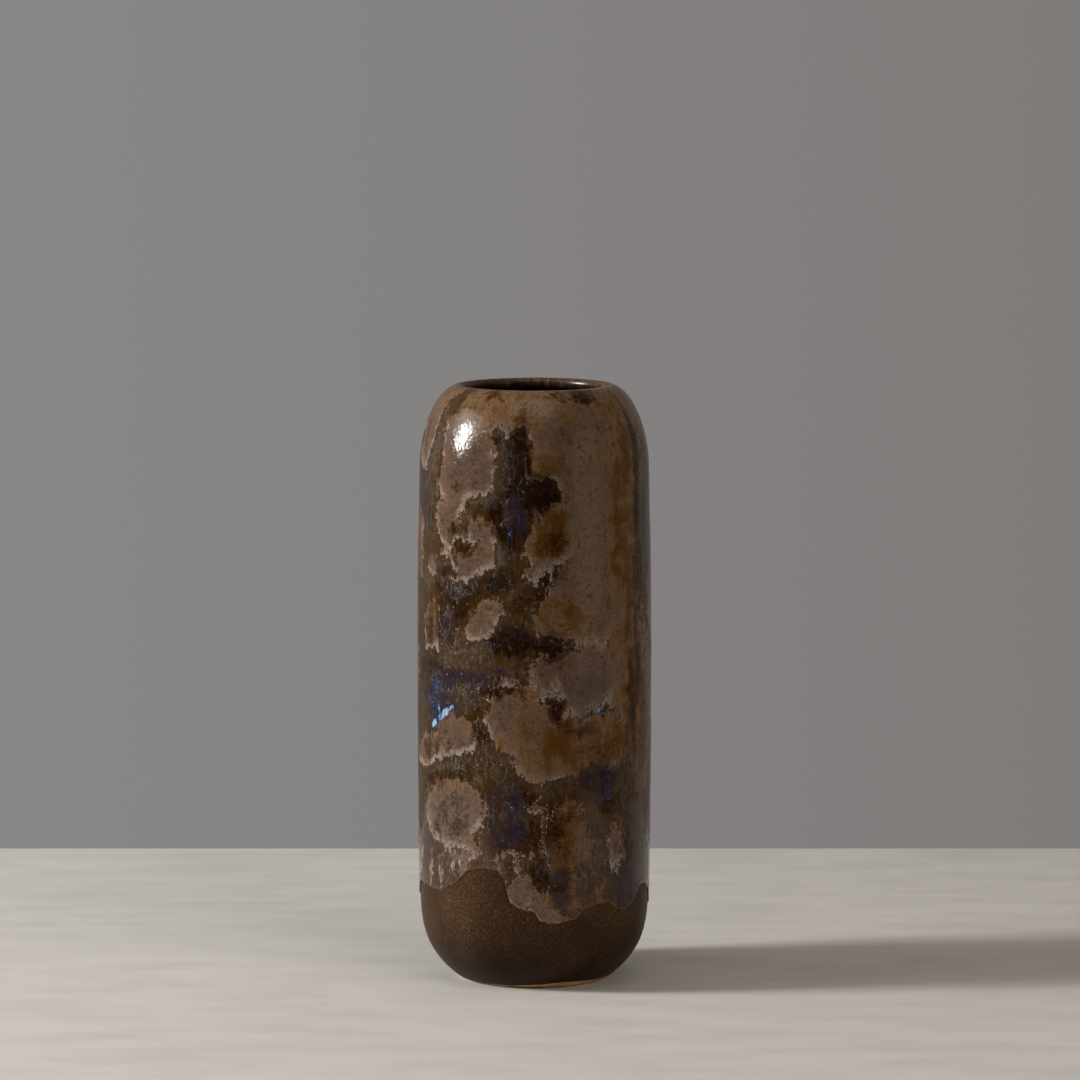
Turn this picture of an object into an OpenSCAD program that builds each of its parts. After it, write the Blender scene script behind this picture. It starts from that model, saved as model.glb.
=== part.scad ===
// Tall stoneware vase: a straight pot with a closed-in shoulder and a tucked-in foot.
// Three thrown wall sections, a base slab and a foot ring are luted together with slip,
// and four coats of glaze are fused over them. Z is up, the pot stands on Z = 0.

/* [Outline of the finished pot] */
// Height of the pot, from the table to the top of the lip
height = 500; // [450:5:560]
// Radius at the fullest part of the belly
belly_r = 98; // [90:1:106]
// How much slimmer the wall is where the shoulder begins
shoulder_slim = 2.3; // [0:0.1:5]
// How much slimmer the wall is where the foot begins to turn in
turn_slim = 1.1; // [0:0.1:5]
// Height of the shoulder, from the wall to the lip
shoulder_h = 67; // [50:1:90]
// Radius of the lip at its highest point
lip_r = 63; // [50:1:75]
// Height of the turn in towards the foot
turn_h = 83; // [60:1:110]
// How far the turn draws the wall in at the table
turn_in = 32; // [20:1:40]

/* [Clay] */
// Thickness of the clay wall
wall_t = 7; // [5:0.5:10]
// Thickness of the base slab
floor_t = 10; // [7:0.5:14]
// Height of the foot ring
foot_h = 6; // [4:0.5:9]
// Inside radius of the foot ring
foot_in = 52; // [44:1:55]
// Width of the bevels round the foot ring's lower edges
foot_bevel = 1.2; // [0.5:0.1:2]

/* [Joints in the clay] */
// Height of the joint between the lower and the middle wall
lower_joint_z = 172; // [140:1:200]
// Height of the joint between the middle and the shoulder wall
upper_joint_z = 336; // [300:1:380]
// Height of the locating ridge on each joint
ridge_h = 2.4; // [1.5:0.1:3]
// Width of the locating ridge at its base
ridge_w = 4; // [3:0.1:4.5]
// Thickness of the slip in each joint
slip_t = 0.6; // [0.4:0.1:1]

/* [Glaze coats] */
// Thickness of the dry matt coat over the whole outside
matt_t = 0.6; // [0.5:0.1:1]
// Thickness of the glossy coat poured over the matt one
gloss_t = 0.8; // [0.5:0.1:1.2]
// Thickness of the buff splashes on the glossy coat
splash_t = 0.5; // [0.4:0.1:0.8]
// Thickness of the lining coat
liner_t = 0.6; // [0.5:0.1:1]
// Height of the bare clay that is wiped clean round the foot
bare_h = 3.5; // [2:0.5:5]
// Mean height of the glossy coat's lower edge
gloss_edge_z = 78; // [70:1:110]

/* [Hidden] */
$fn = 96;
CLAY = "#b98552";

coats = matt_t + gloss_t;
floor_z = foot_h + floor_t;
wall_top = height - shoulder_h;
shoulder_power = 1.82;
turn_power = 3.5;
turn_steps = 18;
belly_steps = 10;
shoulder_steps = 14;
lip_steps = 10;
below_table = -8;
reach = 1.5 * belly_r;

// Lower edge of the glossy coat, which ran down in tongues: angle round the pot from the
// front, and height over the mean edge.
GLOSS_EDGE = [[-80, 6], [-66, 5], [-60, 4], [-54, 2], [-48, 8], [-41, 14], [-35, 23], [-27, 27], [-18, 26],
              [-15, 20], [-12, 0], [-6, -6], [0, -7], [3, -16], [8, -18], [14, -16], [20, -16], [25, -8],
              [32, -3], [40, -2], [45, -10], [52, -11], [58, -6], [64, 4], [72, 6], [80, 0], [86, -14],
              [93, -17], [98, -8], [106, 2], [116, 4], [124, -4], [130, -18], [137, -21], [143, -10],
              [152, 1], [160, 5], [168, 2], [174, 10], [184, 12], [190, -6], [197, -14], [203, -12],
              [208, 2], [218, 8], [226, 0], [232, -12], [240, -16], [246, -8], [252, 6], [260, 12],
              [266, -4], [272, -8]];

// Buff splashes: angle round the pot from the front, height of the centre, width, height, tilt.
SPLASHES = [[-40, 452, 46, 76, 6], [-44, 365, 44, 56, -20], [-68, 300, 20, 58, 0], [-26, 297, 32, 40, -35],
            [12, 400, 40, 70, 10], [30, 330, 46, 60, -10], [-8, 205, 64, 70, 20], [-50, 200, 42, 36, 10],
            [-44, 132, 50, 58, 0], [26, 112, 44, 34, -8], [34, 240, 30, 40, 15], [80, 400, 52, 80, 12],
            [96, 290, 40, 60, -18], [74, 180, 46, 54, 24], [128, 350, 58, 70, -8], [142, 236, 46, 48, 16],
            [120, 130, 40, 44, 0], [178, 420, 56, 70, 4], [186, 300, 38, 62, 22], [170, 170, 60, 52, -14],
            [222, 372, 48, 66, -16], [232, 258, 54, 50, 8], [214, 120, 44, 40, 12], [262, 430, 44, 64, 10],
            [268, 330, 36, 56, -24], [266, 196, 50, 60, 18], [248, 140, 36, 40, 0]];

// ---- The outline, as stations [radius, height] that all layers share ----

// Radius of the belly, a parabola through its fullest height and its two ends
function belly(z) =
    let (full_z = (turn_h + wall_top) / 2, t = (z - full_z) / (wall_top - full_z))
    belly_r - (t > 0 ? shoulder_slim : turn_slim) * t * t;

function belly_point(z) = [belly(z), z];
function turn_point(z) = [belly(z) - turn_in * pow((turn_h - z) / turn_h, turn_power), z];

function shoulder_point(a) =
    let (z = wall_top + shoulder_h * pow(sin(a), 2 / shoulder_power))
    [lip_r + (belly(wall_top) - lip_r) * pow(cos(a), 2 / shoulder_power), z];

STATIONS = concat(
    [for (i = [0 : turn_steps - 1]) turn_point(below_table + (turn_h - below_table) * i / turn_steps)],
    [for (i = [0 : belly_steps - 1]) belly_point(turn_h + (wall_top - turn_h) * i / belly_steps)],
    [for (i = [0 : shoulder_steps]) shoulder_point(90 * i / shoulder_steps)]);
LAST = len(STATIONS) - 1;

// Direction that points out of the pot at a station. At the lip it points straight up.
function outward(i) =
    let (run = STATIONS[min(i + 1, LAST)] - STATIONS[max(i - 1, 0)])
    i == LAST ? [0, 1] : [run[1], -run[0]] / norm(run);

// The outline moved a depth d into the pot, from the foot to the lip
function outline(d) = [for (i = [0 : LAST]) STATIONS[i] - d * outward(i)];
function reverse(points) = [for (i = [len(points) - 1 : -1 : 0]) points[i]];
function radius_at(z, d) = lookup(z, [for (p = outline(d)) [p[1], p[0]]]);

// Half round over the lip, from depth d0 on the outside to depth d1 on the inside
function lip(d0, d1) =
    let (r = (d1 - d0) / 2)
    [for (i = [1 : lip_steps - 1]) let (a = 90 + 180 * i / lip_steps)
        [lip_r, height - d0 - r] + r * [cos(a), sin(a)]];

// ---- Flat sections, revolved by the nodes ----

module inside(d) {
    polygon(concat([[0, below_table]], outline(d), [[0, height - d]]));
}

module coat(d0, d1) {
    polygon(concat(outline(d0), reverse(outline(d1))));
}

module clay_wall() {
    polygon(concat(outline(coats), lip(coats, coats + wall_t), reverse(outline(coats + wall_t))));
}

module heights(z0, z1) {
    translate([0, z0]) square([reach, z1 - z0]);
}

// A joint between two clay pieces runs level, with a locating ridge in the middle of the wall
module above_joint(joint, lift) {
    z = joint[0] + lift;
    r = joint[1];
    polygon([[0, z], [r - ridge_w / 2, z], [r, z + ridge_h], [r + ridge_w / 2, z], [reach, z],
             [reach, height + reach], [0, height + reach]]);
}

module below_joint(joint, lift) {
    z = joint[0] + lift;
    r = joint[1];
    polygon([[0, z], [r - ridge_w / 2, z], [r, z + ridge_h], [r + ridge_w / 2, z], [reach, z],
             [reach, -reach], [0, -reach]]);
}

function wall_joint(z) = [z, radius_at(z, coats + wall_t / 2)];
FOOT_JOINT = [foot_h, (foot_in + radius_at(foot_h, coats)) / 2];
BASE_JOINT = wall_joint(floor_z);
LOWER_JOINT = wall_joint(lower_joint_z);
UPPER_JOINT = wall_joint(upper_joint_z);

module wall_between(low, high) {
    rotate_extrude() intersection() {
        clay_wall();
        above_joint(low, slip_t / 2);
        below_joint(high, -slip_t / 2);
    }
}

module seam(joint) {
    rotate_extrude() intersection() {
        above_joint(joint, -slip_t / 2);
        below_joint(joint, slip_t / 2);
        children();
    }
}

// A flat shape turned into a block that points out of the pot at an angle from the front
module outwards(angle, z) {
    rotate([0, 0, angle]) translate([0, 0, z]) rotate([90, 0, 0]) linear_extrude(reach) children();
}

// ---- Nodes ----

module foot_ring() {
    color(CLAY) rotate_extrude() intersection() {
        inside(coats);
        below_joint(FOOT_JOINT, -slip_t / 2);
        polygon([[foot_in, foot_bevel], [foot_in + foot_bevel, 0], [radius_at(0, coats) - foot_bevel, 0],
                 [radius_at(foot_bevel, coats), foot_bevel], [reach, foot_bevel], [reach, height],
                 [foot_in, height]]);
    }
}

module base_slab() {
    color(CLAY) rotate_extrude() intersection() {
        inside(coats);
        above_joint(FOOT_JOINT, slip_t / 2);
        below_joint(BASE_JOINT, -slip_t / 2);
    }
}

module lower_wall() {
    color(CLAY) wall_between(BASE_JOINT, LOWER_JOINT);
}

module middle_wall() {
    color(CLAY) wall_between(LOWER_JOINT, UPPER_JOINT);
}

module shoulder_wall() {
    color(CLAY) rotate_extrude() intersection() {
        clay_wall();
        above_joint(UPPER_JOINT, slip_t / 2);
    }
}

module slip_seams() {
    color("#a06c40") {
        seam(FOOT_JOINT) difference() {
            inside(coats);
            square([foot_in, height]);
        }
        for (joint = [BASE_JOINT, LOWER_JOINT, UPPER_JOINT]) seam(joint) clay_wall();
    }
}

module liner_glaze() {
    inner_d = coats + wall_t + liner_t;
    slab_top = floor_z - slip_t / 2;
    color("#2c1f16") rotate_extrude() {
        intersection() {
            heights(slab_top, height);
            polygon(concat(
                [[lip_r, height]], lip(0, inner_d), reverse(outline(inner_d)),
                outline(coats + wall_t), reverse(lip(coats, coats + wall_t)), [[lip_r, height - coats]]));
        }
        intersection() {
            heights(slab_top, slab_top + liner_t);
            inside(coats + wall_t);
        }
    }
}

module matt_glaze() {
    color("#4e3c2e") rotate_extrude() intersection() {
        coat(gloss_t, coats);
        heights(bare_h, height);
    }
}

module gloss_glaze() {
    color("#2a1c12") intersection() {
        rotate_extrude() intersection() {
            coat(0, gloss_t);
            heights(bare_h, height);
        }
        above_gloss_edge();
    }
}

// A many-sided block whose lower side fans out from the pot's axis to the glossy coat's edge
module above_gloss_edge() {
    n = len(GLOSS_EDGE);
    top = height + reach;
    out = reach / belly_r;
    ring = [for (p = GLOSS_EDGE) [reach * sin(p[0]), -reach * cos(p[0]), gloss_edge_z + p[1] * out]];
    polyhedron(
        points = concat([[0, 0, gloss_edge_z], [0, 0, top]], ring, [for (p = ring) [p[0], p[1], top]]),
        faces = [for (i = [0 : n - 1], side = [0 : 2])
            let (low = 2 + i, next_low = 2 + (i + 1) % n, up = low + n, next_up = next_low + n)
            side == 0 ? [0, low, next_low] : side == 1 ? [1, next_up, up] : [up, next_up, next_low, low]]);
}

module splash_glaze() {
    color("#7a6554") for (s = SPLASHES) intersection() {
        rotate_extrude() intersection() {
            coat(-splash_t, 0);
            heights(s[1] - s[3], s[1] + s[3]);
        }
        outwards(s[0], s[1]) rotate(s[4]) splash_shape(s[2] / 2, s[3] / 2, s[0]);
    }
}

// A splash is an oval whose edge bulges three and five times round
module splash_shape(half_w, half_h, turn) {
    function bulge(a) = 1 + 0.1 * sin(3 * a + turn) + 0.06 * sin(5 * a - 2 * turn);
    polygon([for (a = [0 : 15 : 345]) bulge(a) * [half_w * cos(a), half_h * sin(a)]]);
}

foot_ring();
base_slab();
lower_wall();
middle_wall();
shoulder_wall();
slip_seams();
liner_glaze();
matt_glaze();
gloss_glaze();
splash_glaze();
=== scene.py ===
import bmesh
import bpy
import numpy as np
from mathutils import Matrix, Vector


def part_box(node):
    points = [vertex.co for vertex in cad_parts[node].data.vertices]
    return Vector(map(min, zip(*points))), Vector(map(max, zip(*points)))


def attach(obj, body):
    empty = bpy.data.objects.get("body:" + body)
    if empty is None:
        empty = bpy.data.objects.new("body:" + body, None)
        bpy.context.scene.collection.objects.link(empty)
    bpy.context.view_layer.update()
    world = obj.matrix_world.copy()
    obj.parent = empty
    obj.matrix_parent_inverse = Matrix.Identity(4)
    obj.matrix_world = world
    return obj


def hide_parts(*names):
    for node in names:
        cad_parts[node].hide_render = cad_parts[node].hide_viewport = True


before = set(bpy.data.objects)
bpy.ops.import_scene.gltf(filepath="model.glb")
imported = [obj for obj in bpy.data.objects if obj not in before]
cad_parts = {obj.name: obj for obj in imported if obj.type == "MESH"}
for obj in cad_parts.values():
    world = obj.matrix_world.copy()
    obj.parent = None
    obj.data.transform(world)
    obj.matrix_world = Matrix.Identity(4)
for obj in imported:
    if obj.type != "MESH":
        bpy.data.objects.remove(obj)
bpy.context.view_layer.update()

# ---- Clay walls ----
# Three wall sections, thrown on a wheel from buff stoneware with a fine grit, stacked and
# luted at leather hardness. Glaze hides them all round, so the CAD solids stay as they are
# and take the clay's finish: fired, unglazed, evenly dry, with darker specks of grit.

MM = 0.001


def linear(hexes):
    """A colour written as sRGB hex, in the linear values that shaders use."""
    c = np.array([int(hexes[i : i + 2], 16) for i in (1, 3, 5)]) / 255
    low, high = c / 12.92, ((c + 0.055) / 1.055) ** 2.4
    return (*np.where(c <= 0.04045, low, high), 1.0)


def add(tree, kind, sockets=(), out=None, stops=(), **settings):
    """Adds one shader node and gives back its named output, or else the first one in use.

    sockets fill its inputs, in order or by name, with values, sRGB hex colours or other
    nodes' outputs; stops are a ramp's (position, colour) pairs; settings its properties.
    In order, a noise takes the place, its lumps to the metre, its detail and how rough that
    is; a MapRange takes a value, its low and high ends, and what they become; a Mix takes
    the share of the second thing, and the two things."""
    new = tree.nodes.new("ShaderNode" + kind)
    for name, value in settings.items():
        setattr(new, name, value)
    inputs = [socket for socket in new.inputs if socket.enabled]
    if isinstance(sockets, dict):
        inputs, sockets = [new.inputs[name] for name in sockets], sockets.values()
    for socket, value in zip(inputs, sockets):
        if isinstance(value, bpy.types.NodeSocket):
            tree.links.new(value, socket)
        else:
            socket.default_value = linear(value) if isinstance(value, str) else value
    for i, (place, colour) in enumerate(stops):
        points = new.color_ramp.elements
        point = points[i] if i < 2 else points.new(place)
        point.position = place
        point.color = linear(colour)
    return new.outputs[out] if out else next(socket for socket in new.outputs if socket.enabled)


def finish(name, ior):
    """A new material, its node tree, its shader, and the place of each point of the piece."""
    made = bpy.data.materials.new(name)
    made.use_nodes = True
    tree = made.node_tree
    shader = tree.nodes["Principled BSDF"]
    shader.inputs["IOR"].default_value = ior
    return made, tree, shader, add(tree, "TexCoord", out="Object")


def surface(tree, shader, colour, rough, relief, depth_mm, strength):
    """Gives a shader its colour and roughness, and raises relief in bumps of a depth in mm."""
    bumps = add(tree, "Bump", {"Height": relief, "Strength": strength, "Distance": depth_mm * MM})
    for name, value in (("Base Color", colour), ("Roughness", rough), ("Normal", bumps)):
        tree.links.new(value, shader.inputs[name])


# Fired buff stoneware, turned and left bare, toasted in soft patches about 14 mm wide. Its
# grit is 0.6 mm or less, and is drawn at 0.9 mm so that it shows.
bare_stoneware, tree, shader, at = finish("bare_stoneware", 1.5)
toast = add(tree, "TexNoise", (at, 1 / (14 * MM), 2, 0.55))
grit = add(tree, "TexNoise", (at, 1 / (0.9 * MM), 1, 0.55))
clay = add(tree, "ValToRGB", (toast,), stops=[(0.35, "#cc9b62"), (0.65, "#e6c492")])
specks = add(tree, "ValToRGB", (grit,), stops=[(0.3, "#5b4128"), (0.42, "#ffffff")])
clay = add(tree, "Mix", (1, clay, specks), data_type="RGBA", blend_type="MULTIPLY")
dry = add(tree, "MapRange", (grit, 0, 1, 0.75, 0.95))
surface(tree, shader, clay, dry, grit, depth_mm=0.15, strength=0.6)

for name in ("lower_wall", "middle_wall", "shoulder_wall"):
    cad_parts[name].data.materials.clear()
    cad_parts[name].data.materials.append(bare_stoneware)

# ---- Slip in the joints ----
# Thin rings of liquid clay that glue the sections together. Fired with them, they are the
# same clay without its grit, a little darker and smoother.

# Fired slip, brushed on: soft marks about 3 mm wide.
fired_slip, tree, shader, at = finish("fired_slip", 1.5)
brushed = add(tree, "TexNoise", (at, 1 / (3 * MM), 2, 0.55))
slip = add(tree, "ValToRGB", (brushed,), stops=[(0.3, "#7d5533"), (0.7, "#936a43")])
dry = add(tree, "MapRange", (brushed, 0, 1, 0.6, 0.8))
surface(tree, shader, slip, dry, brushed, depth_mm=0.2, strength=0.4)

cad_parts["slip_seams"].data.materials.clear()
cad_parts["slip_seams"].data.materials.append(fired_slip)

# ---- Foot ring ----
# The ring the pot stands on, turned from the same clay and wiped clean of glaze, with
# rounded edges and the fine grooves of the turning tool.

COLUMNS = 500
TABLE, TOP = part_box("foot_ring")[0][2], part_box("gloss_glaze")[1][2]
BELLY_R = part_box("gloss_glaze")[1][0]
SHOULDER_SLIM, TURN_SLIM = 2.3 * MM, 1.1 * MM
SHOULDER_H, TURN_H, TURN_IN, LIP_R = 67 * MM, 83 * MM, 32 * MM, 63 * MM
SHOULDER_POWER, TURN_POWER = 1.82, 3.5
COATS = 1.4 * MM  # both outer coats together, over the clay
FOOT_IN, FOOT_TOP, FOOT_EDGE = 52 * MM, 5.7 * MM, 1.5 * MM
RIDGE_HALF, RIDGE_H = 2 * MM, 2.4 * MM  # the ridge in a joint, which the next piece sits on
GROOVE = 0.9 * MM  # from one groove of the turning tool to the next


def outline(depth):
    """The pot's outline from just under the table to the lip, moved a depth into the pot.

    The belly is a parabola over the height, the turn above the foot takes off a power of the
    distance below the belly, and the shoulder is a quarter of a superellipse."""
    wall_top = TOP - SHOULDER_H
    full_z = (TURN_H + wall_top) / 2
    z = np.linspace(-8 * MM, wall_top, 300)
    t = (z - full_z) / (wall_top - full_z)
    r = BELLY_R - np.where(t > 0, SHOULDER_SLIM, TURN_SLIM) * t**2
    r -= TURN_IN * np.clip((TURN_H - z) / TURN_H, 0, None) ** TURN_POWER
    a = np.linspace(0, np.pi / 2, 101)[1:]
    r = np.append(r, LIP_R + (r[-1] - LIP_R) * np.maximum(np.cos(a), 0) ** (2 / SHOULDER_POWER))
    z = np.append(z, wall_top + SHOULDER_H * np.sin(a) ** (2 / SHOULDER_POWER))
    dr, dz = np.gradient(r), np.gradient(z)
    dr[-1], dz[-1] = -1, 0
    run = np.hypot(dr, dz)
    return r - depth * dz / run, z + depth * dr / run


def radius_at(z, depth):
    """The outline's radius at a height, a depth into the pot."""
    r, heights = outline(depth)
    return np.interp(z, heights[:-1], r[:-1])


def resample(points, count, closed=False):
    """The same path through (radius, height) points, with rows at even distances along it."""
    points = np.array(points, float)
    if closed:
        points = np.vstack([points, points[:1]])
    walked = np.append(0, np.cumsum(np.hypot(*np.diff(points, axis=0).T)))
    steps = np.linspace(0, walked[-1], count + closed)[:count]
    return np.interp(steps, walked, points[:, 0]), np.interp(steps, walked, points[:, 1])


def lathe(name, radius, height, material, closed=True):
    """A piece turned about the pot's axis from a grid of radii and heights.

    Each row is one ring, each column one angle from the front round to the right, so a point
    is (r sin, -r cos, z). The last ring joins the first when closed; rings of no radius
    become one point."""
    rows = len(radius)
    radius = np.broadcast_to(radius, (rows, COLUMNS))
    height = np.broadcast_to(height, (rows, COLUMNS))
    points = np.stack([radius * np.sin(angle), -radius * np.cos(angle), height], -1)
    i, j = np.meshgrid(np.arange(rows if closed else rows - 1), np.arange(COLUMNS), indexing="ij")
    up, right = (i + 1) % rows, (j + 1) % COLUMNS
    corners = [i * COLUMNS + j, i * COLUMNS + right, up * COLUMNS + right, up * COLUMNS + j]
    flat = (radius[i, j] == 0) & (radius[up, j] == 0)
    mesh = bpy.data.meshes.new(name)
    mesh.from_pydata(points.reshape(-1, 3).tolist(), [], np.stack(corners, -1)[~flat].tolist())
    mesh.polygons.foreach_set("use_smooth", np.ones(len(mesh.polygons), bool))
    if (radius == 0).any():
        work = bmesh.new()
        work.from_mesh(mesh)
        bmesh.ops.remove_doubles(work, verts=work.verts, dist=0.5e-6)
        work.to_mesh(mesh)
        work.free()
    mesh.materials.append(material)
    piece = bpy.data.objects.new(name, mesh)
    bpy.context.scene.collection.objects.link(piece)
    return piece


angle = np.linspace(0, 2 * np.pi, COLUMNS, endpoint=False)
ridge_r = (FOOT_IN + radius_at(6 * MM, COATS)) / 2
section = [(FOOT_IN, FOOT_TOP), (FOOT_IN, FOOT_EDGE), (FOOT_IN + FOOT_EDGE, TABLE)]
section += [(radius_at(0, COATS) - FOOT_EDGE, TABLE)]
section += [(radius_at(z, COATS), z) for z in np.linspace(FOOT_EDGE, FOOT_TOP, 6)]
section += [(ridge_r + RIDGE_HALF, FOOT_TOP), (ridge_r, FOOT_TOP + RIDGE_H)]
section += [(ridge_r - RIDGE_HALF, FOOT_TOP)]
r, z = resample(section, 150, closed=True)
for _ in range(2):
    r, z = [(np.roll(v, 1) + 2 * v + np.roll(v, -1)) / 4 for v in (r, z)]
tool = 0.06 * MM * np.sin(2 * np.pi * (r + z) / GROOVE)
wobble = 0.12 * MM * np.sin(3 * angle + 1) + 0.08 * MM * np.sin(7 * angle)
outer = np.clip((r - ridge_r) / (4 * MM), 0, 1)
below = np.clip(1 - z / FOOT_TOP, 0, 1)
r = r - tool * (z > TABLE + 0.5 * MM) * (z < FOOT_TOP - 0.5 * MM)
r = r[:, None] + (outer * below)[:, None] * wobble
z = np.maximum(z + tool * (z < 0.5 * MM) * 0.6, TABLE)[:, None]
foot = lathe("turned_foot_ring", r, z, bare_stoneware)
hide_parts("foot_ring")
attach(foot, "root")

# ---- Base slab ----
# A flat disc of the same clay under the pot, turned underneath: the tool leaves one long
# spiral groove from the middle out to the foot ring.

WALL = 7 * MM
SLAB_LOW, SLAB_TOP = 6.3 * MM, 15.7 * MM
SPIRAL = 3.4 * MM  # from one turn of the spiral to the next

groove_r = np.array([ridge_r - RIDGE_HALF, ridge_r, ridge_r + RIDGE_HALF])
under_r = np.linspace(0, 1, 90) * radius_at(SLAB_LOW, COATS)
under_z = SLAB_LOW + np.interp(under_r, groove_r, [0, RIDGE_H, 0])
spiral = np.sin(2 * np.pi * (under_r[:, None] / SPIRAL - angle / (2 * np.pi)))
fade = np.clip(under_r / (6 * MM), 0, 1) * np.clip((FOOT_IN - under_r) / (3 * MM), 0, 1)
under_z = under_z[:, None] + 0.22 * MM * (1 + spiral) * fade[:, None]
side_z = np.linspace(SLAB_LOW, SLAB_TOP, 6)[1:]
wall_ridge = radius_at(16 * MM, COATS + WALL / 2)
top_r = np.array([wall_ridge + RIDGE_HALF, wall_ridge, wall_ridge - RIDGE_HALF, 0])
r = np.concatenate([under_r, radius_at(side_z, COATS), top_r])
rest_z = np.append(side_z, SLAB_TOP + np.array([0, RIDGE_H, 0, 0]))
z = np.vstack([under_z, np.repeat(rest_z[:, None], COLUMNS, 1)])
slab = lathe("turned_base_slab", r[:, None], z, bare_stoneware, closed=False)
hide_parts("base_slab")
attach(slab, "root")

# ---- Lining glaze ----
# A glossy brown-black glaze swilled round the inside and poured out over the lip. It lies
# over the throwing rings that the potter's fingers left, and breaks to brown on the lip.

LINER = 0.6 * MM
INNER = COATS + WALL + LINER
FLOOR = SLAB_TOP + LINER
CORNER = 9 * MM
FINGER = 8.5 * MM  # from one throwing ring to the next

# Iron-black lining glaze: fluid and glossy, in upright streaks about 5 mm wide, with a fine
# mottle of 2.2 mm. It is thin and brown along a ragged line at the crest of the lip.
lining, tree, shader, at = finish("lining_tenmoku_glaze", 1.52)
mottle = add(tree, "TexNoise", (at, 1 / (2.2 * MM), 4, 0.55))
streaked_at = add(tree, "Mapping", {"Vector": at, "Scale": (1, 1, 0.12)})
streak = add(tree, "TexNoise", (streaked_at, 1 / (5 * MM), 3, 0.55))
deep_stops = [(0.3, "#20140b"), (0.55, "#3c2818"), (0.75, "#624630")]
deep = add(tree, "ValToRGB", (streak,), stops=deep_stops)
thin_stops = [(0.36, "#24160c"), (0.46, "#5d4430"), (0.7, "#7c634c")]
thin = add(tree, "ValToRGB", (mottle,), stops=thin_stops)
ragged = add(tree, "Math", (streak, 6 * MM), operation="MULTIPLY")
height = add(tree, "SeparateXYZ", (at,), out="Z")
height = add(tree, "Math", (height, ragged), operation="ADD")
crest = add(tree, "MapRange", (height, TOP - 1.5 * MM, TOP + 3.5 * MM))
colour = add(tree, "Mix", (crest, deep, thin), data_type="RGBA")
smooth = add(tree, "MapRange", (mottle, 0, 1, 0.16, 0.42))
surface(tree, shader, colour, smooth, mottle, depth_mm=0.15, strength=0.4)


def half_round(depth0, depth1, count):
    """Half round over the lip, from depth0 on the outside to depth1 on the inside."""
    r = (depth1 - depth0) / 2
    a = np.linspace(np.pi / 2, 3 * np.pi / 2, count)
    return np.stack([LIP_R + r * np.cos(a), TOP - depth0 - r + r * np.sin(a)], -1)


def wall_path(depth, low, count):
    """(radius, height) rows up a wall at one depth, from a height to the lip."""
    r, z = outline(depth)
    keep = z > low
    path = np.vstack([[radius_at(low, depth), low], np.stack([r[keep], z[keep]], -1)])
    return np.stack(resample(path, count), -1)


down = wall_path(INNER, FLOOR + CORNER, 100)[::-1]
bend = np.linspace(0, np.pi / 2, 10)[1:]
corner_r = down[-1, 0] - CORNER * (1 - np.cos(bend))
corner_z = FLOOR + CORNER * (1 - np.sin(bend))
floor_r = np.linspace(corner_r[-1], 0, 36)[1:]
face = [half_round(0, INNER, 14), down[1:], np.stack([corner_r, corner_z], -1)]
face = np.vstack([*face, np.stack([floor_r, np.full(len(floor_r), FLOOR)], -1)])
r, z = face[:, 0][:, None], face[:, 1][:, None]

# Throwing rings: a wave up the wall that drifts round it, and one out across the floor.
wall_rings = np.sin(2 * np.pi * z / FINGER + angle + 0.8 * np.sin(z / (31 * MM)))
low_wall = np.clip((TOP - 22 * MM - z) / (30 * MM), 0, 1) * np.clip((z - FLOOR) / (12 * MM), 0, 1)
floor_rings = np.sin(2 * np.pi * r / (9 * MM) - angle) * np.clip((60 * MM - r) / (12 * MM), 0, 1)
on_floor = z < FLOOR + 0.1 * MM
floor_rings = floor_rings * np.clip(r / (8 * MM), 0, 1) * on_floor
r = np.where(r > 0, r - 0.32 * MM * (1 + wall_rings) * low_wall, 0)
z = z + 0.3 * MM * (1 + floor_rings) * on_floor
z[-1] = z[-1].mean()

backing = [[[0, SLAB_TOP]], wall_path(COATS + WALL, SLAB_TOP, 30)]
backing = np.vstack([*backing, half_round(COATS, COATS + WALL, 8)[::-1][1:]])
r = np.vstack([r, np.repeat(backing[:, :1], COLUMNS, 1)])
z = np.vstack([z, np.repeat(backing[:, 1:], COLUMNS, 1)])
liner = lathe("lining_coat", r, z, lining)
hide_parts("liner_glaze")
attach(liner, "root")

# ---- Matt coat ----
# A dry iron-brown slip glaze sprayed over the whole outside. It shows below the glossy
# coat: finely pitted, with dark specks, ending in a soft wavy edge above the bare foot.

GLOSS = 0.8 * MM  # the glossy coat's thickness, so the matt coat's depth
ROLL_ROWS = 6


def varied(tree, start, *parts):
    """start plus each (value, weight): the value is taken as running from -0.5 to 0.5."""
    total = start
    for value, weight in parts:
        centred = add(tree, "Math", (value, weight, -weight / 2), operation="MULTIPLY_ADD")
        total = add(tree, "Math", (total, centred), operation="ADD")
    return total


# Dry matt iron glaze: dull, lightly speckled, with painted glints on the palest specks, and
# painted shade that darkens it towards the foot. The speckle and the pits are under 1 mm, and
# are drawn at 1.6 mm and 2 mm so that they show.
matt, tree, shader, at = finish("dry_matt_iron_glaze", 1.38)
shader.inputs["Specular IOR Level"].default_value = 0.17
patches = add(tree, "TexNoise", (at, 1 / (40 * MM), 2, 0.55))
speckle = add(tree, "TexNoise", (at, 1 / (1.6 * MM), 3, 0.6))
pits = add(tree, "TexVoronoi", (at, 1 / (2.0 * MM)))
shade = varied(tree, add(tree, "MapRange", (patches, 0, 1, 0.3, 0.7)), (speckle, 1.1))
# The palest stop, on the high specks, is painted glints of light in the colour.
brown_stops = [(0.2, "#23160b"), (0.45, "#3b2714"), (0.66, "#523b25"), (0.85, "#7f6242")]
brown = add(tree, "ValToRGB", (shade,), stops=brown_stops)
pit = add(tree, "MapRange", (pits, 0.08, 0.3, 0.72, 1))
pit = add(tree, "Mix", (pit, "#a09590", "#ffffff"), data_type="RGBA")
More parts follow.
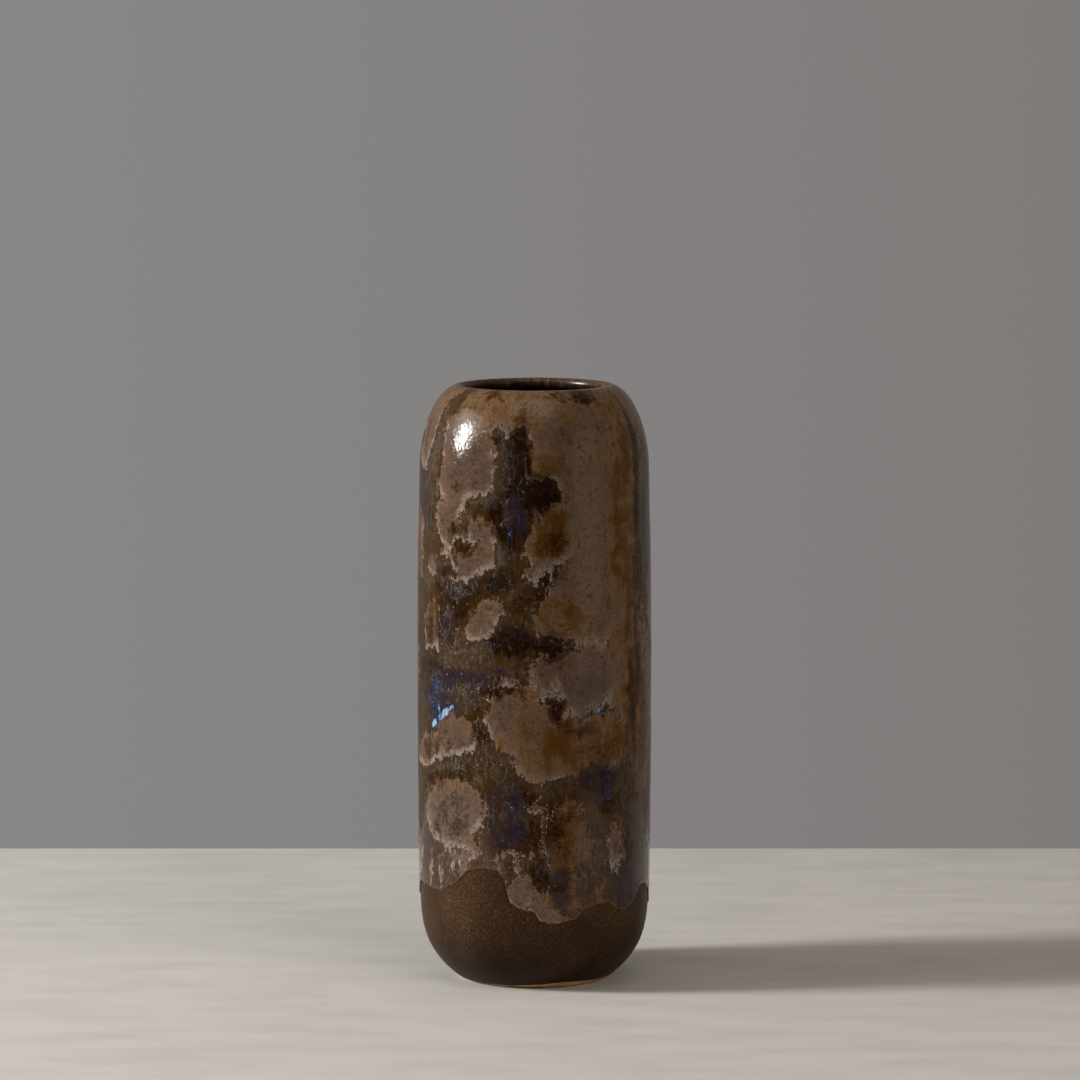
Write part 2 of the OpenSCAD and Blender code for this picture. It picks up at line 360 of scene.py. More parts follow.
brown = add(tree, "Mix", (1, brown, pit), data_type="RGBA", blend_type="MULTIPLY")
# Painted shade: the colour darkens towards the foot, where the pot turns under, away from the
# light.
height = add(tree, "MapRange", (add(tree, "SeparateXYZ", (at,), out="Z"), 0, 100 * MM))
painted_foot_shade = add(tree, "ValToRGB", (height,), stops=[(0.2, "#b8ada2"), (0.7, "#ffffff")])
brown = add(tree, "Mix", (1, brown, painted_foot_shade), data_type="RGBA", blend_type="MULTIPLY")
dimples = add(tree, "Math", (pits, 0.35), operation="MINIMUM")
dimples = add(tree, "Math", (speckle, dimples), operation="ADD")
dull = add(tree, "MapRange", (speckle, 0, 1, 0.36, 0.52))
surface(tree, shader, brown, dull, dimples, depth_mm=0.25, strength=0.7)

random = np.random.default_rng(7)
LATTICE = random.random((32, 32, 32))


def lumps(points, size, octaves=2):
    """Smooth random values from -1 to 1: points on a repeating lattice of random numbers are
    mixed with a smooth step in each direction, then finer layers at half the weight join."""
    total, weight = 0, 0
    for octave in range(octaves):
        p = points / (size / 2**octave) + 11.3 * octave
        cell = np.floor(p).astype(int)
        t = p - cell
        t = t * t * (3 - 2 * t)
        value = 0
        for corner in np.ndindex(2, 2, 2):
            share = np.prod(np.where(corner, t, 1 - t), -1)
            value = value + share * LATTICE[tuple(np.moveaxis((cell + corner) % 32, -1, 0))]
        total, weight = total + value / 2**octave, weight + 1 / 2**octave
    return 2 * total / weight - 1


def places(radius, height):
    """Points in the pot's frame for a grid of radii and heights."""
    height = np.broadcast_to(height, radius.shape)
    return np.stack([radius * np.sin(angle), -radius * np.cos(angle), height], -1)


def nearness(centre, spread):
    """A bell curve over the angle round the pot: 1 at the centre, less on both sides."""
    off = (angle - centre + np.pi) % (2 * np.pi) - np.pi
    return np.exp(-(off**2) / spread)


def coat(depth_out, depth_in, low, roll, rows_low, low_span, rows_high, rows_in):
    """Rows of a coat of glaze: up its face from its lower edge to the lip, then back down.

    low is the edge's height at each angle, and roll how far the edge takes to roll over in a
    quarter round. Then come rows_low rows over low_span, rows_high rows up to the lip, and
    rows_in rows down the inside. Gives radius, height, the number of rows in the face, and
    how far along the outline each of those is from the edge."""
    r_out, z_out = outline(depth_out)
    r_in, z_in = outline(depth_in)
    r_path, z_path = outline(0)
    walked = np.append(0, np.cumsum(np.hypot(np.diff(r_path), np.diff(z_path))))
    start, end = np.interp(low, z_path, walked), walked[-1]
    a = np.linspace(0, np.pi / 2, ROLL_ROWS)[:, None]
    near = np.linspace(0, 1, rows_low)[1:, None] * low_span
    face = np.vstack([start + roll * (1 - np.cos(a)), start + roll + near])
    far = np.linspace(0, 1, rows_high)[1:, None] * (end - face[-1])
    face = np.vstack([face, face[-1] + far])
    proud = np.vstack([np.sin(a) + 0 * low, np.ones((len(face) - ROLL_ROWS, COLUMNS))])
    r = np.interp(face, walked, r_in) * (1 - proud) + np.interp(face, walked, r_out) * proud
    z = np.interp(face, walked, z_in) * (1 - proud) + np.interp(face, walked, z_out) * proud
    back = (end + np.linspace(0, 1, rows_in)[:, None] * (start - end))[:-1]
    r = np.vstack([r, np.interp(back, walked, r_in)])
    z = np.vstack([z, np.interp(back, walked, z_in)])
    return r, z, len(face), face - start


foot_line = places(np.full((1, COLUMNS), LIP_R), np.zeros((1, COLUMNS)))
uneven = 0.8 * lumps(foot_line, 30 * MM) + 0.3 * lumps(foot_line + 1, 6 * MM)
matt_low = (3.0 + uneven - 2.4 * nearness(-0.95, 0.5) + 1.6 * nearness(0.4, 0.1)) * MM
r, z, face_rows, _ = coat(GLOSS, COATS, matt_low, 0.8 * MM, 60, 122 * MM, 60, 60)
bare = slice(ROLL_ROWS - 1, face_rows)
pimples = lumps(places(r[:face_rows], z[:face_rows]), 5 * MM, 3)[bare]
r[bare] += 0.06 * MM * pimples * (z[bare] < 130 * MM)  # above that, the gloss hides them
matt_coat = lathe("dry_matt_coat", r, z, matt)
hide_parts("matt_glaze")
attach(matt_coat, "root")

# ---- Glossy coat and splashes ----
# A thick iron glaze poured over the matt one, with a buff rutile glaze splashed on and
# trailed blue. They ran together in the kiln: buff islands with ragged, whitened lower
# edges on a shiny brown-black ground, streaks of blue-grey, and tongues down to the foot.

WALL_MM = 98  # the wall's radius in mm, which turns angles into distances along it
RUN_LINE = 78  # the lower edge's usual height in mm

# Lower edge: angle from the front, and height in mm over that line, as on the CAD coat.
RUNS = [
    (-80, 6), (-66, 5), (-60, 4), (-54, 2), (-48, 8), (-41, 14), (-35, 23), (-27, 27), (-18, 26),
    (-15, 20), (-12, 0), (-6, -6), (0, -7), (3, -16), (8, -18), (14, -16), (20, -16), (25, -8),
    (32, -3), (40, -2), (45, -10), (52, -11), (58, -6), (64, 4), (72, 6), (80, 0), (86, -14),
    (93, -17), (98, -8), (106, 2), (116, 4), (124, -4), (130, -18), (137, -21), (143, -10),
    (152, 1), (160, 5), (168, 2), (174, 10), (184, 12), (190, -6), (197, -14), (203, -12),
    (208, 2), (218, 8), (226, 0), (232, -12), (240, -16), (246, -8), (252, 6), (260, 12),
    (266, -4), (272, -8),
]
run_angle, run_height = np.array(RUNS, float).T
run_low = (RUN_LINE + np.interp(np.degrees(angle), run_angle, run_height, period=360)) * MM
run_edge = places(np.full((1, COLUMNS), (WALL_MM - 1) * MM), run_low)
ragged = 1.6 * lumps(run_edge, 9 * MM, 2) + 1.3 * lumps(run_edge + 1, 4 * MM, 2)

r, z, face_rows, from_edge = coat(0, GLOSS, run_low + ragged * MM, 1.2 * MM, 10, 9 * MM, 146, 26)
here = places(r[:face_rows], z[:face_rows])

# Where each point lies on the unrolled wall in mm, pushed about so that every edge wanders,
# and drawn down in narrow columns where the glaze ran.
wander = 4.5 * lumps(here, 17 * MM, 2), 4.0 * lumps(here + 1, 14 * MM, 2)
ripple = 2.4 * lumps(here + 2, 5 * MM, 2), 2.6 * lumps(here + 3, 5 * MM, 2)
column = lumps(here * (1, 1, 0.06) + 4, 5 * MM, 2)
drip = 6 * np.clip(column + 0.1, 0, 1) ** 1.5
arc = angle * WALL_MM + wander[0] + ripple[0]
up = z[:face_rows] / MM + wander[1] + ripple[1] + drip


def inside(spots):
    """How far inside the nearest of these ovals each point lies in mm, negative outside.

    An oval is (angle, height, half width, half height, tilt, crispness); its widths and
    heights are mm on the wall, its tilt in degrees lifts the right-hand side. The distance
    is one less the point's share of the oval's radius, times the oval's smaller half."""
    to_back = np.pi * WALL_MM
    best = np.full(arc.shape, -30.0)
    for spot_angle, spot_z, half_w, half_h, tilt, crisp in spots:
        across = arc - np.radians(spot_angle) * WALL_MM
        across = (across + to_back) % (2 * to_back) - to_back
        cosine, sine = np.cos(np.radians(tilt)), np.sin(np.radians(tilt))
        u = (cosine * across + sine * (up - spot_z)) / half_w
        v = (cosine * (up - spot_z) - sine * across) / half_h
        best = np.maximum(best, (1 - np.hypot(u, v)) * min(half_w, half_h) * crisp)
    return best


def amount(spots, soft):
    """The strongest weight, the sixth value, of the ovals here, fading over a soft edge."""
    best = np.zeros(arc.shape)
    for *oval, weight in spots:
        best = np.maximum(best, weight * np.clip(inside([(*oval, 1)]) / soft + 0.5, 0, 1))
    return best


def all_round(spots):
    """The same ovals, and those of the front again at the back: mirrored, 22 mm lower and a
    tenth wider."""
    back = []
    for spot_angle, spot_z, half_w, half_h, tilt, last in spots:
        if abs(spot_angle) < 62:
            back.append((180 - spot_angle, spot_z - 22, 1.1 * half_w, half_h, 8 - tilt, last))
    return spots + back


# Buff crust: the whole shoulder, islands on the left, a broad soft-edged field on the right.
buff = [
    (0, 506, 500, 42, 0, 1), (-38, 442, 32, 42, 0, 1), (-45, 392, 20, 20, 0, 1),
    (-36, 368, 30, 22, 20, 1), (-26, 385, 15, 12, 0, 1), (-60, 356, 10, 9, 0, 1),
    (-26, 313, 22, 12, 45, 1), (-61, 297, 13, 28, -6, 1), (-72, 466, 14, 34, 0, 1),
    (-80, 372, 14, 30, 0, 0.8), (32, 402, 50, 118, 0, 0.5), (4, 446, 16, 15, 0, 1),
    (8, 376, 22, 34, -20, 0.6), (15, 318, 26, 19, 0, 0.6), (-42, 214, 24, 20, 0, 1),
    (-64, 199, 28, 12, 8, 1), (-6, 228, 32, 28, 0, 1), (6, 200, 30, 20, 0, 0.9),
    (-14, 256, 22, 11, 0, 0.8), (22, 264, 42, 30, 0, 0.5), (28, 210, 42, 28, 0, 0.5),
    (-46, 150, 38, 26, 10, 1), (-40, 124, 22, 13, -10, 1), (-7, 84, 12, 18, 0, 1),
    (10, 76, 20, 18, 0, 1), (24, 84, 24, 20, 0, 0.6), (16, 130, 22, 32, 0, 0.5),
    (52, 280, 28, 66, 0, 0.4), (44, 122, 10, 18, 0, 0.6), (66, 236, 24, 70, 0, 0.4),
    (82, 132, 16, 20, 0, 0.6), (-62, 106, 3, 13, 0, 1), (-53, 104, 3, 15, 0, 1),
    (-44, 107, 3, 11, 0, 1), (-37, 108, 4, 13, 0, 1), (-10, 119, 14, 2, 6, 1),
    (-18, 110, 2, 9, 0, 1), (-7, 108, 2, 8, 0, 1), (2, 163, 9, 6, 20, 1),
    (96, 330, 36, 60, 0, 0.5), (100, 190, 30, 34, 20, 0.8), (88, 100, 20, 26, 0, 0.8),
    (262, 300, 30, 60, 12, 0.7), (272, 110, 26, 26, 0, 1),
]

# Where the dark glaze shows through the crust.
holes = [
    (-53, 491, 8, 14, -20, 1), (-58, 455, 8, 34, 4, 1), (-62, 405, 10, 42, 6, 1),
    (-19, 464, 7, 9, 0, 1.4), (-8, 462, 10, 14, 0, 1.4), (-8, 430, 8, 36, 0, 2),
    (-16, 412, 11, 14, 0, 1.6), (-27, 407, 15, 9, -6, 1.2), (3, 420, 17, 13, 0, 1.6),
    (-10, 392, 14, 22, 0, 1.6), (-11, 366, 12, 18, 30, 1), (-18, 345, 16, 8, 20, 1),
    (-36, 392, 5, 9, 0, 1), (-39, 372, 13, 6, 18, 1), (-52, 355, 11, 12, 0, 1),
    (-48, 335, 16, 18, 0, 1), (-46, 305, 12, 22, 0, 1), (-33, 337, 18, 10, 0, 1),
    (0, 338, 32, 5, 45, 0.7), (-12, 297, 17, 12, 0, 1), (6, 293, 15, 9, 0, 0.8),
    (-46, 272, 60, 14, 0, 1), (-25, 256, 7, 7, 0, 1), (-13, 256, 8, 5, 0, 1),
    (-28, 225, 8, 34, 14, 1), (4, 103, 8, 17, 0, 1), (12, 238, 4, 13, 0, 0.8),
    (8, 246, 8, 5, 0, 0.8), (33, 181, 19, 10, 0, 1.2), (40, 170, 9, 8, 0, 1.2),
    (8, 168, 26, 9, 0, 0.6), (34, 122, 5, 28, 0, 0.6), (54, 130, 8, 26, 0, 0.6),
    (54, 92, 17, 24, 0, 0.6), (62, 405, 5, 62, 0, 0.7), (-50, 118, 20, 3, 0, 1),
    (72, 400, 14, 60, 0, 0.7), (-48, 188, 44, 8, 14, 1),
]

# Where the ground is blackest, against its usual grey-olive.
dark = [
    (-8, 430, 13, 52, 0, 0.75), (3, 420, 17, 15, 0, 0.8), (-12, 396, 16, 24, 0, 0.7),
    (-18, 345, 14, 9, 20, 0.7), (-12, 297, 19, 14, 0, 0.8), (6, 293, 16, 11, 0, 0.7),
    (1, 340, 32, 6, 45, 0.55), (-39, 376, 16, 16, 0, 0.4), (62, 400, 6, 70, 0, 0.6),
    (33, 181, 20, 12, 0, 0.8), (12, 240, 8, 15, 0, 0.6), (54, 130, 9, 26, 0, 0.35),
    (-48, 330, 18, 40, 0, 0.35), (-18, 256, 22, 9, 0, 0.6), (-20, 464, 8, 10, 0, 0.5),
    (-48, 188, 50, 16, 14, 0.3), (-28, 218, 10, 30, 14, 0.3), (-10, 150, 26, 34, 0, 0.25),
    (-46, 146, 26, 20, 0, 0.2), (14, 140, 22, 26, 0, 0.2), (36, 168, 30, 36, 0, 0.22),
    (26, 88, 34, 26, 0, 0.34), (54, 96, 18, 34, 0, 0.55), (44, 124, 14, 24, 0, 0.3),
    (38, 84, 16, 14, 0, 0.3), (33, 494, 12, 6, 0, 0.5), (-28, 497, 13, 3, -8, 0.45),
    (15, 496, 9, 3, 0, 0.4), (10, 380, 14, 14, 0, 0.25), (52, 182, 12, 40, 0, 0.3),
    (-52, 345, 9, 40, 0, 0.3), (18, 222, 14, 2, -10, 0.5), (28, 240, 12, 2, 12, 0.4),
    (30, 206, 34, 8, 0, 0.2), (60, 300, 5, 60, 0, 0.4), (56, 240, 6, 60, 6, 0.35),
    (-58, 262, 30, 18, 0, 0.4), (4, 103, 9, 18, 0, 0.4), (-50, 100, 30, 12, 0, 0.4),
    (-62, 114, 24, 26, 0, 0.38), (68, 110, 16, 50, 0, 0.35), (-77, 300, 8, 170, 0, 0.22),
    (-40, 332, 26, 20, 0, 0.42), (-62, 300, 14, 30, 0, 0.22), (-62, 200, 26, 12, 8, 0.2),
]

# Warm golden brown in the crust (weight 1), against greyed buff in the thick islands.
warm = [
    (50, 390, 20, 110, 0, 0.8), (8, 388, 20, 22, 0, 0.9), (14, 318, 26, 20, 0, 0.6),
    (24, 208, 34, 24, 0, 1), (16, 130, 24, 34, 0, 0.9), (22, 82, 34, 22, 0, 0.7),
    (-2, 208, 36, 34, 0, 0.32), (60, 200, 30, 90, 0, 0.9), (0, 505, 300, 34, 0, 0.45),
    (120, 300, 60, 120, 0, 0.8), (262, 380, 40, 80, 0, 0.7), (28, 400, 26, 100, 0, 0.35),
    (4, 446, 20, 20, 0, 0.4),
]

# Rutile blue: weight 0.3 is violet brown, 0.6 deep blue; where it is palest it lies in lines.
blue = [
    (-9, 397, 10, 22, 0, 0.56), (-46, 308, 9, 12, 0, 0.45), (-38, 264, 38, 9, 4, 0.45),
    (-48, 250, 36, 20, 14, 0.36), (-57, 244, 24, 18, 24, 0.58), (-14, 152, 19, 32, 0, 0.46),
    (37, 176, 12, 12, 0, 0.42), (-19, 343, 8, 7, 0, 0.36), (-70, 408, 18, 36, 0, 0.34),
    (72, 380, 12, 60, 0, 0.36), (54, 88, 15, 20, 0, 0.36), (29, 256, 14, 9, 10, 0.5),
    (150, 250, 22, 12, 10, 0.55),
]
pale = [
    (-53, 227, 25, 4, 31, 1.1), (-11, 386, 2, 6, 0, 0.85), (-14, 412, 1.5, 4, 0, 0.85),
    (39, 162, 6, 3, 20, 0.8), (33, 238, 6, 3, 0, 1.05), (-12, 273, 12, 2, 5, 0.75),
    (-66, 412, 4, 4, 0, 0.7), (34, 246, 2, 10, -8, 1.0), (-38, 268, 14, 2, -6, 0.75),
]

# Grey veil of the rutile glaze, in soft upright streaks. The broad streaks on the right of the
# front and near both sides are also painted sheen, a reflection of the room's light.
veil_and_sheen = [
    (28, 410, 24, 80, 0, 0.9), (40, 312, 20, 24, 20, 0.8), (32, 258, 22, 22, 0, 0.8),
    (28, 128, 14, 28, 0, 0.8), (54, 92, 18, 22, 0, 0.3), (-14, 440, 2.5, 40, 0, 0.9),
    (-60, 420, 10, 60, 0, 0.7), (-46, 190, 50, 9, 14, 0.4), (74, 400, 20, 80, 0, 1),
    (70, 150, 12, 60, 0, 0.5), (-24, 284, 34, 8, 0, 0.5), (-6, 112, 24, 9, 0, 0.7),
    (-56, 104, 20, 8, 0, 0.3), (-38, 174, 28, 9, 8, 0.7), (-14, 150, 14, 24, 0, 0.35),
    (36, 236, 9, 28, 0, 0.6), (-16, 478, 16, 10, 0, 0.35),
]

island = np.minimum(inside(all_round(buff)), -inside(all_round(holes)))
streaks = lumps(here * (1, 1, 0.12) + 5, 7 * MM, 3)
tone = 0.62 + 0.2 * streaks + 0.26 * lumps(here + 6, 13 * MM, 3) - amount(all_round(dark), 8)
warmth = 0.25 + 0.75 * amount(all_round(warm), 16) + 0.18 * lumps(here + 11, 14 * MM, 3)
pooled = np.clip(1 + 0.9 * lumps(here * (1, 1, 0.4) + 7, 6 * MM, 3), 0, 1.25)
flecks = 0.85 + 0.5 * lumps(here * (1, 1, 0.4) + 12, 3 * MM, 1)
blues = np.maximum(amount(all_round(blue), 9) * pooled, amount(all_round(pale), 3) * flecks)
misty = np.clip(0.55 + 0.9 * lumps(here * (1, 1, 0.25) + 8, 6 * MM, 3), 0, 1)
veils_and_sheen = amount(all_round(veil_and_sheen), 14) * misty
lower_side = np.clip(np.gradient(island, axis=0) / 0.8, -1, 1)

# The islands stand a little proud, with the thickest glaze at their lower edges, and the
# coat ends in a bead. Heights are in mm, and fade out at the lower edge and at the lip.
proud = 0.22 * np.clip(island / 2.5, 0, 1)
proud += 0.18 * np.exp(-(((island - 1.2) / 1.5) ** 2)) * np.clip(lower_side, 0, 1)
proud += 0.2 * np.exp(-(((from_edge / MM - 3.0) / 2.2) ** 2))
proud += 0.08 * lumps(here + 9, 14 * MM, 1) + 0.03 * lumps(here + 10, 3 * MM, 1)
proud *= np.clip(from_edge / (1.5 * MM), 0, 1) * np.clip((TOP - z[:face_rows]) / (6 * MM), 0, 1)
dz, dr = np.gradient(z[:face_rows], axis=0), np.gradient(r[:face_rows], axis=0)
run = np.hypot(dz, dr) + 1e-12
r[:face_rows] += proud * MM * dz / run
z[:face_rows] -= proud * MM * dr / run

# Reactive iron and rutile glaze: melted glassy, so its lights are sharp. The speckle in it
# is under 1 mm, and is drawn at 1.5 mm so that it shows.
glossy, tree, shader, at = finish("reactive_iron_and_rutile_glaze", 1.5)
shader.inputs["Specular IOR Level"].default_value = 0.38
fields = {"island": island, "tone": tone, "warmth": warmth, "blue": blues, "veil_and_sheen": veils_and_sheen}
fields |= {"lower_side": lower_side, "edge_mm": from_edge / MM}
painted = {name: add(tree, "Attribute", out="Fac", attribute_name=name) for name in fields}


def blotches(tree, where, size_mm, detail, rough, low=0.34):
    """Noise with lumps of a size in mm, stretched so that they run from 0 to 1."""
    noise = add(tree, "TexNoise", (where, 1 / (size_mm * MM), detail, rough))
    return add(tree, "MapRange", (noise, low, 1 - low))


def product(tree, first, *others):
    """Values multiplied together; one written as a tuple is first mapped from a range, as
    (value, low, high, share at low, share at high)."""
    values = [add(tree, "MapRange", v) if isinstance(v, tuple) else v for v in (first, *others)]
    total = values[0]
    for value in values[1:]:
        total = add(tree, "Math", (total, value), operation="MULTIPLY")
    return total


runny_at = add(tree, "Mapping", {"Vector": at, "Scale": (1, 1, 0.2)})
banded_at = add(tree, "Mapping", {"Vector": at, "Scale": (1, 1, 0.08)})
fine = blotches(tree, at, 1.5, 3, 0.75, 0.36)
medium = blotches(tree, at, 4.2, 4, 0.65)
broad = blotches(tree, at, 13, 3, 0.55)
runny = blotches(tree, runny_at, 3, 4, 0.6)
bands = blotches(tree, banded_at, 10, 4, 0.6)

edge = varied(tree, painted["island"], (fine, 2.2), (medium, 4.0), (runny, 2.6))
is_island = add(tree, "MapRange", (edge, -0.3, 0.3))
cold = add(tree, "MapRange", (painted["warmth"], 0.2, 0.6, 1, 0))

# Ground: black-brown where thick, grey olive where thin, and rusty close to the islands.
shade = varied(tree, painted["tone"], (fine, 0.2), (medium, 0.4), (runny, 0.3))
ground_stops = [(0.0, "#231105"), (0.25, "#33200e"), (0.45, "#422d17")]
ground_stops += [(0.62, "#4a3822"), (0.8, "#554636"), (1.0, "#5f5042")]
ground = add(tree, "ValToRGB", (shade,), stops=ground_stops)
olive = product(tree, (broad, 0.2, 0.9, 0, 0.65), (painted["tone"], 0, 0.4))
ground = add(tree, "Mix", (olive, ground, "#42300f"), data_type="RGBA")
rust = product(tree, (edge, -5, -0.3, 0, 0.7), medium)
ground = add(tree, "Mix", (rust, ground, "#4e2a0b"), data_type="RGBA")

# Buff crust: golden where thin, greyed in the core of the thick islands, mottled, stained by
# the iron under it, and whitened at the rims and in teeth along the lower edges.
hue = varied(tree, painted["warmth"], (medium, 0.3), (broad, 0.45), (bands, 0.4))
crust_stops = [(0.0, "#725849"), (0.35, "#7f6555"), (0.6, "#8b6c4e"), (0.8, "#73522c")]
crust_stops += [(1.0, "#6a481e")]
crust = add(tree, "ValToRGB", (hue,), stops=crust_stops)
core = product(tree, (edge, 3, 10, 0, 0.8), cold)
crust = add(tree, "Mix", (core, crust, "#68564a"), data_type="RGBA")
mottle = varied(tree, 0.54, (medium, 0.4), (fine, 0.5))
mottle_stops = [(0.0, "#7d766e"), (0.4, "#dad6d2"), (0.8, "#ffffff")]
mottle = add(tree, "ValToRGB", (mottle,), stops=mottle_stops)
crust = add(tree, "Mix", (1, crust, mottle), data_type="RGBA", blend_type="MULTIPLY")
stain = varied(tree, painted["tone"], (medium, 0.2), (fine, 0.1))
stain_stops = [(0.0, "#5a431d"), (0.28, "#a8915f"), (0.5, "#ffffff")]
stain = add(tree, "ValToRGB", (stain,), stops=stain_stops)
crust = add(tree, "Mix", (1, crust, stain), data_type="RGBA", blend_type="MULTIPLY")
rim = product(tree, (edge, 0.1, 1.8, 0.7, 0), runny, cold)
crust = add(tree, "Mix", (rim, crust, "#9c7f62"), data_type="RGBA")
teeth = varied(tree, painted["lower_side"], (runny, 1.6), (fine, 1.2))
teeth = product(tree, (teeth, 0.15, 0.85), (edge, 0.2, 5, 0.85, 0))
crust = add(tree, "Mix", (product(tree, teeth, cold), crust, "#b8aa9c"), data_type="RGBA")

# Pinholes where gas came up through the crust, in patches, about 3.6 mm apart.
pinholes = add(tree, "TexVoronoi", (at, 1 / (3.6 * MM)))
pinholes = product(tree, (pinholes, 0.22, 0.34, 1, 0), (medium, 0.55, 0.7))
pinholes = product(tree, pinholes, (edge, 2, 12, 1, 0.2), (cold, 0, 1, 0.3, 1))
crust = add(tree, "Mix", (pinholes, crust, "#1a0f07"), data_type="RGBA")

colour = add(tree, "Mix", (is_island, ground, crust), data_type="RGBA")
# Grey-tan of the veil, which on the right of the front and near both sides is painted reflection.
veil_and_sheen_share = varied(tree, painted["veil_and_sheen"], (fine, 0.4), (medium, 0.5), (runny, 0.5))
veil_and_sheen_share = product(tree, (veil_and_sheen_share, 0.2, 0.9, 0, 0.7), (painted["veil_and_sheen"], 0.02, 0.4))
colour = add(tree, "Mix", (veil_and_sheen_share, colour, "#726350"), data_type="RGBA")

# Blue pools: violet brown at their rims, deep blue, then pale blue flecks where thickest.
# Only the pale flecks lie fully over the crust.
pool = varied(tree, painted["blue"], (fine, 0.4), (runny, 0.25))
pool_stops = [(0.15, "#33261e"), (0.38, "#43363b"), (0.58, "#222034"), (0.76, "#182040")]
pool_stops += [(0.88, "#4572a6"), (1.0, "#a9c4d8")]
pool_colour = add(tree, "ValToRGB", (pool,), stops=pool_stops)
off_crust = add(tree, "MapRange", (is_island, 0, 1, 1, 0.4))
pale_fleck = add(tree, "MapRange", (pool, 0.68, 0.8))
off_crust = add(tree, "Math", (off_crust, pale_fleck), operation="MAXIMUM")
pool_share = product(tree, (pool, 0.15, 0.6, 0, 0.9), off_crust)
colour = add(tree, "Mix", (pool_share, colour, pool_colour), data_type="RGBA")

# The coat thins to a line of toasted orange at its lower edge.
thinned = varied(tree, painted["edge_mm"], (fine, 1.0), (medium, 1.4))
thinned = product(tree, (thinned, 0.6, 2.4, 0.8, 0), (broad, 0, 1, 0.25, 1))
colour = add(tree, "Mix", (thinned, colour, "#7a4a1c"), data_type="RGBA")

# The ground is glassy smooth. The crust is nearly so, with low swellings, grains about
# 2.6 mm wide that catch the light, raised teeth and sunk pinholes.
satin = add(tree, "MapRange", (broad, 0, 1, 0.03, 0.08))
shiny = add(tree, "MapRange", (medium, 0, 1, 0.04, 0.09))
gloss = add(tree, "Mix", (is_island, shiny, satin))
on_crust = add(tree, "Math", (is_island, 0.04), operation="MAXIMUM")
grains = add(tree, "TexNoise", (at, 1 / (2.6 * MM), 1, 0.55))
grains = product(tree, (grains, 0.45, 0.75), on_crust)
swellings = product(tree, medium, on_crust)
raised = varied(tree, is_island, (grains, 0.3), (swellings, 0.24), (teeth, 0.7))
raised = add(tree, "Math", (raised, pinholes), operation="SUBTRACT")
surface(tree, shader, colour, gloss, raised, depth_mm=0.3, strength=0.8)

glossy_coat = lathe("glossy_coat_with_splashes", r, z, glossy)
unpainted = np.zeros((len(r) - face_rows, COLUMNS))
for name, values in fields.items():
    new = glossy_coat.data.attributes.new(name, "FLOAT", "POINT")
    new.data.foreach_set("value", np.vstack([values, unpainted]).astype(np.float32).ravel())
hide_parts("gloss_glaze", "splash_glaze")
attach(glossy_coat, "root")

# ---- Floor, light and camera ----
# A pale floor that ends against a grey room. Soft window light falls from the left, low
# enough to leave a long shadow, and the room is brighter behind the pot than in front of it.

FLOOR_BACK, FLOOR_FRONT, FLOOR_SIDE = 0.62, -0.56, 0.85
SHOULDER_Z = 0.45

# Pale matt paint on boards: faint worn streaks about 120 mm long.
floor_mat, tree, shader, at = finish("pale_matt_floor", 1.45)
worn = add(tree, "Mapping", {"Vector": at, "Scale": (1, 3, 1)})
worn = add(tree, "TexNoise", (worn, 1 / (120 * MM), 5, 0.55))
paint = add(tree, "ValToRGB", (worn,), stops=[(0.35, "#dedbd7"), (0.6, "#e7e4e1")])
tree.links.new(paint, shader.inputs["Base Color"])
tree.links.new(add(tree, "MapRange", (worn, 0, 1, 0.5, 0.7)), shader.inputs["Roughness"])
mesh = bpy.data.meshes.new("floor")
corners = [(-FLOOR_SIDE, FLOOR_FRONT), (FLOOR_SIDE, FLOOR_FRONT)]
corners += [(FLOOR_SIDE, FLOOR_BACK), (-FLOOR_SIDE, FLOOR_BACK)]
mesh.from_pydata([(x, y, TABLE) for x, y in corners], [], [(0, 1, 2, 3)])
mesh.materials.append(floor_mat)
floor = bpy.data.objects.new("floor", mesh)
bpy.context.scene.collection.objects.link(floor)

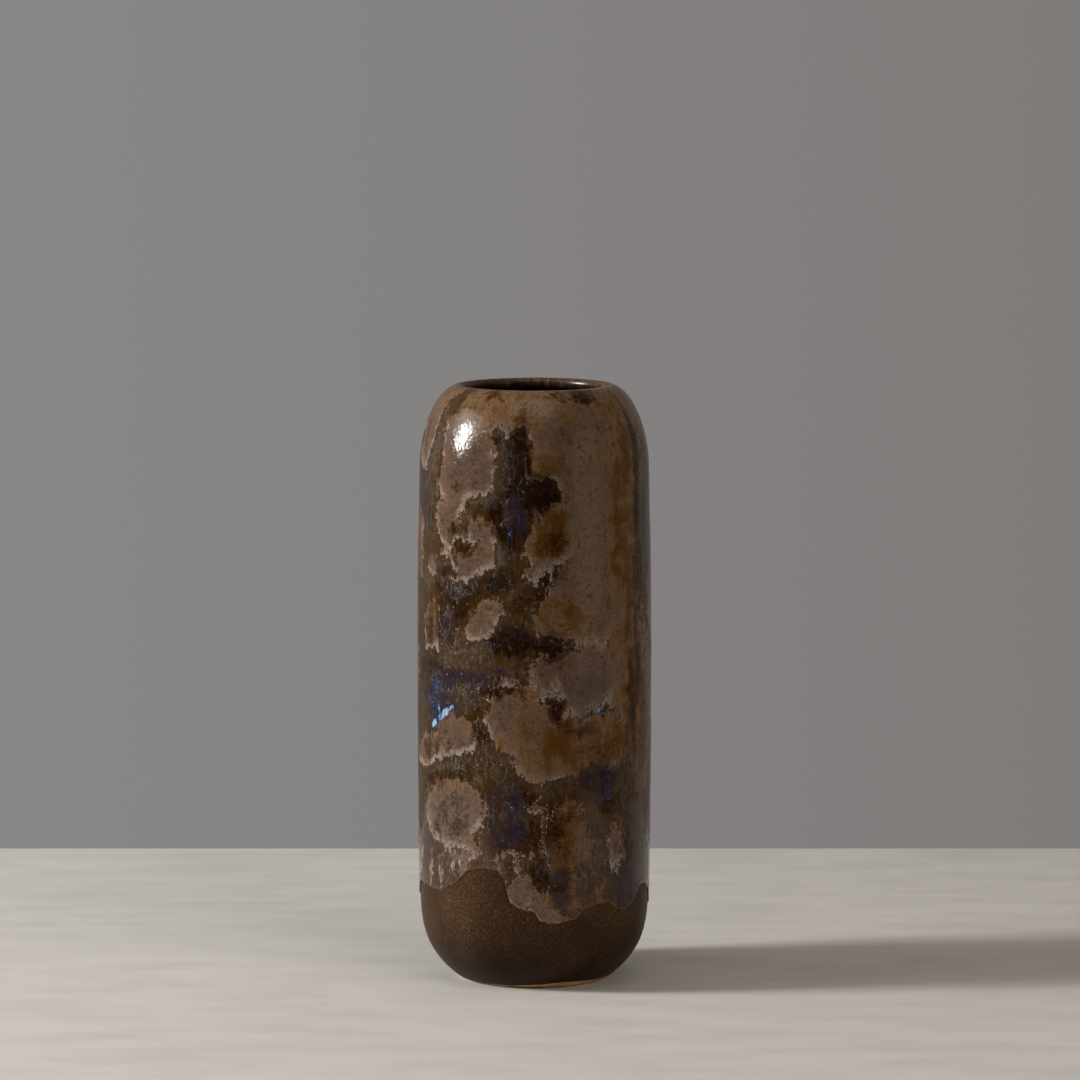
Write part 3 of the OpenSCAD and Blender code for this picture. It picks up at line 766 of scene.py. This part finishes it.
# The room: dim in front, lighter behind, and a grey wall, lighter at the left, where the
# camera sees it.
world = bpy.data.worlds.new("room")
bpy.context.scene.world = world
world.use_nodes = True
tree = world.node_tree
towards = add(tree, "TexCoord", out="Generated")
behind = add(tree, "MapRange", (add(tree, "SeparateXYZ", (towards,), out="Y"), -0.5, 0.6))
aside = add(tree, "MapRange", (add(tree, "SeparateXYZ", (towards,), out="X"), -0.1, 0.1))
room = add(tree, "Mix", (behind, "#1f1d1b", "#6b6763"), data_type="RGBA")
wall = add(tree, "Mix", (aside, "#898687", "#7e7b79"), data_type="RGBA")
seen = add(tree, "LightPath", out="Is Camera Ray")
room = add(tree, "Mix", (seen, room, wall), data_type="RGBA")
tree.links.new(room, tree.nodes["Background"].inputs["Color"])
tree.nodes["Background"].inputs["Strength"].default_value = 1.0


def light(name, place, aim, size, watts, tint):
    """A rectangular soft light at a place in metres, turned to face aim."""
    data = bpy.data.lights.new(name, "AREA")
    data.shape = "RECTANGLE"
    data.size, data.size_y = size
    data.energy = watts
    data.color = linear(tint)[:3]
    lamp = bpy.data.objects.new(name, data)
    lamp.location = place
    away = np.array(place) - np.array(aim)
    away = away / np.linalg.norm(away)
    lamp.rotation_euler = (np.arccos(away[2]), 0, np.arctan2(away[0], -away[1]))
    bpy.context.scene.collection.objects.link(lamp)
    return lamp


def from_pot(azimuth, rise, distance):
    """A place at a distance from the shoulder, its azimuth in degrees from the front."""
    a, e = np.radians(azimuth), np.radians(rise)
    forward, upward = distance * np.cos(e), distance * np.sin(e)
    return (forward * np.sin(a), -forward * np.cos(a), SHOULDER_Z + upward)


light("window", from_pot(-83, 27, 4.2), (0, 0, 0.3), (2.4, 1.6), 40, "#fffaf2")
light("window_bright_part", from_pot(-82, 18, 4.0), (0, 0, 0.4), (0.6, 1.1), 140, "#fffefc")
light("far_room", from_pot(54, 4, 2.6), (0, 0, 0.3), (1.3, 2.0), 2.4, "#fff6ec")
light("ceiling", (0, -1.2, 3.2), (0, -0.3, 0.1), (2, 2), 9, "#fff6ea")

# Light that comes back from the room at the right, too spread out to show in the glaze.
room_glow = light("room_glow", from_pot(40, 26, 3.0), (0, 0, 0.3), (2, 2), 21, "#fff4e6")
room_glow.visible_glossy = False

AIM = np.array([4.8 * MM, 0, 369 * MM])
PITCH, DISTANCE = np.radians(6.61), 4.603
camera_data = bpy.data.cameras.new("camera")
camera_data.sensor_width = 36
camera_data.lens = 183.3
camera = bpy.data.objects.new("camera", camera_data)
camera.location = AIM + DISTANCE * np.array([0, -np.cos(PITCH), np.sin(PITCH)])
camera.rotation_euler = (np.pi / 2 - PITCH, 0, 0)
bpy.context.scene.collection.objects.link(camera)
bpy.context.scene.camera = camera
bpy.context.scene.view_settings.view_transform = "Standard"
